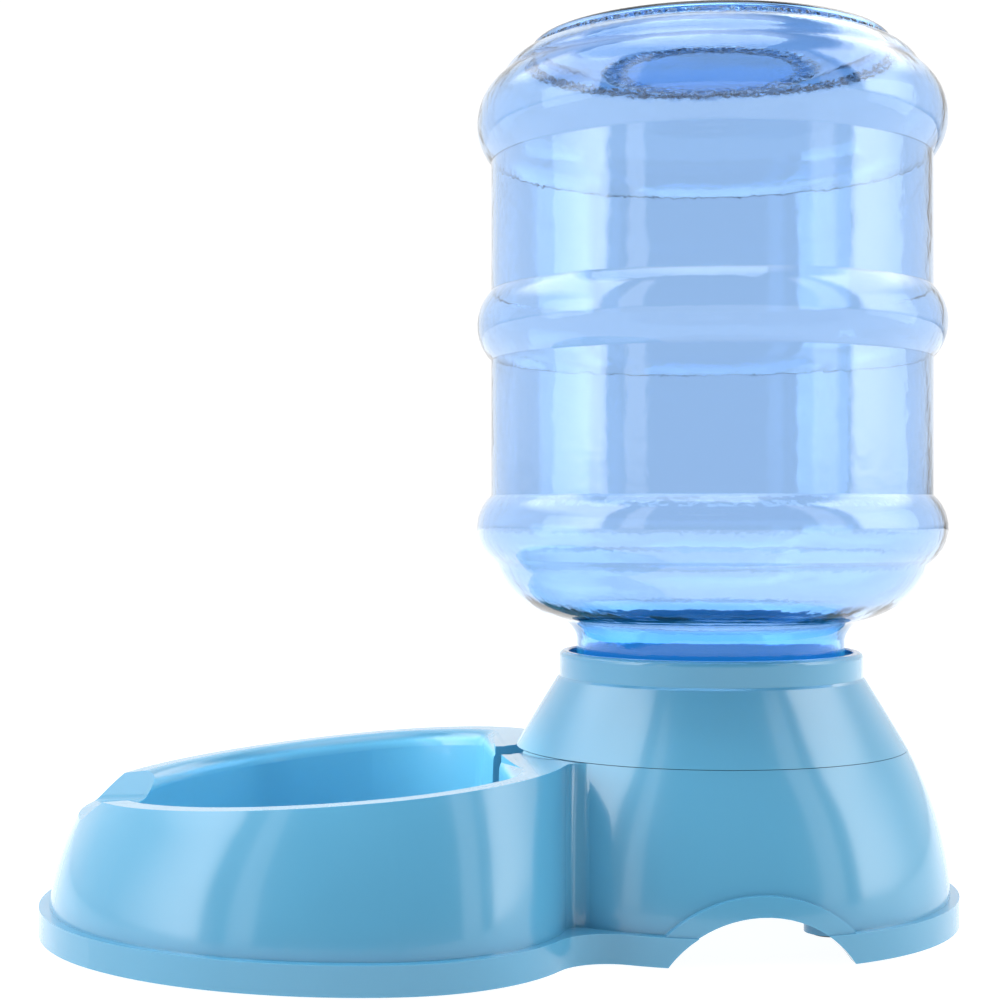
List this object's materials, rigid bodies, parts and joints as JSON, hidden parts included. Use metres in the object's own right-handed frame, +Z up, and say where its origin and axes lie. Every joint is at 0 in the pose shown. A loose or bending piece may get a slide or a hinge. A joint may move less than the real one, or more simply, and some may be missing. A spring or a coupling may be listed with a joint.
{
  "type": "pet water dispenser",
  "caption": "Gravity pet water dispenser: an upside-down transparent bottle in a round stand feeds an oval drinking bowl through a valve cap.",
  "frame": {"origin": "centre of the whole object's outline, on the surface that it stands on", "axes": "+X runs from the bowl to the bottle's stand, +Z is up, and the object is the same on both sides of Y=0"},
  "size_m": [0.3204, 0.2176, 0.31],
  "materials": {
    "base_plastic": "glossy light blue moulding",
    "bottle_plastic": "clear blue blow moulding",
    "cap_plastic": "glossy light blue moulding",
    "valve_plastic": "satin white",
    "seal_rubber": "soft milky silicone",
    "spring_wire": "drawn stainless wire",
    "foot_rubber": "matt dark rubber"
  },
  "bodies": {
    "base": {"base_body": "base_plastic", "foot_front_left": "foot_rubber", "foot_front_right": "foot_rubber", "foot_rear_left": "foot_rubber", "foot_rear_right": "foot_rubber"},
    "collar": {"collar": "base_plastic"},
    "bottle": {"bottle": "bottle_plastic"},
    "cap": {"cap": "cap_plastic", "cap_gasket": "seal_rubber", "valve_cage": "valve_plastic", "valve_spring": "spring_wire"},
    "valve": {"valve_stem": "valve_plastic", "valve_seal": "seal_rubber"}
  },
  "joints": [
    {"name": "collar_lift", "type": "slide", "parent": "base", "child": "collar", "axis": [0, 0, 1], "range_m": [0, 0.03]},
    {"name": "bottle_lift", "type": "slide", "parent": "collar", "child": "bottle", "axis": [0, 0, 1], "range_m": [0, 0.07]},
    {"name": "cap_turn", "type": "hinge", "parent": "bottle", "child": "cap", "pos_m": [0.07375, 0, 0.06], "axis": [0, 0, 1], "range_deg": [0, 450]},
    {"name": "valve_close", "type": "slide", "parent": "cap", "child": "valve", "axis": [0, 0, -1], "range_m": [0, 0.0039], "deforming": ["valve_spring"]}
  ],
  "couplings": [
    {"joint": "valve_close", "follows": "bottle_lift", "ratio": 0.0557}
  ]
}
